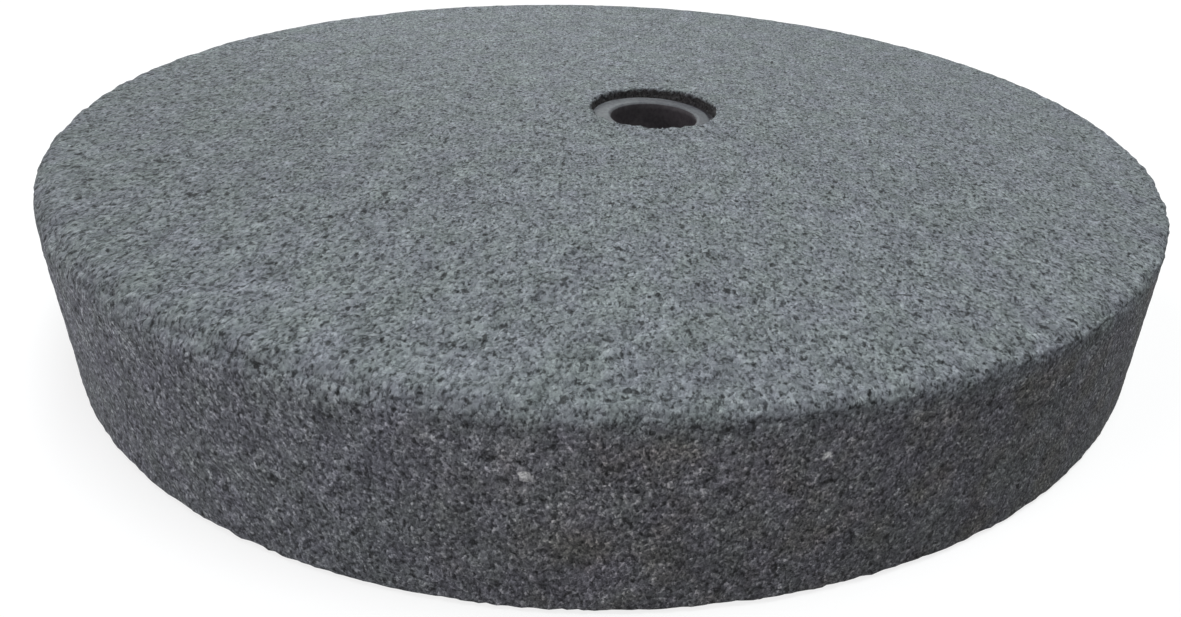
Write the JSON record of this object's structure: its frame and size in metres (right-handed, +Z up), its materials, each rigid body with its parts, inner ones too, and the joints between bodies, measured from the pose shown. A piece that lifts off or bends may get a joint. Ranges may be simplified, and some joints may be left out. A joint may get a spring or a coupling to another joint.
{
  "type": "bench grinding wheel",
  "caption": "Straight abrasive grinding disc with rounded arrises and a set-back arbor bush in its central hole.",
  "frame": {"origin": "on the wheel's axis, at the lower side face that it lies on", "axes": "+Z up along the wheel's axis, through the bore; +X and +Y lie in the side face and are interchangeable"},
  "size_m": [0.1778, 0.1778, 0.0254],
  "materials": {
    "abrasive": "matte",
    "bush": "satin"
  },
  "bodies": {
    "root": {"abrasive_wheel": "abrasive", "arbor_bush": "bush"}
  },
  "joints": []
}
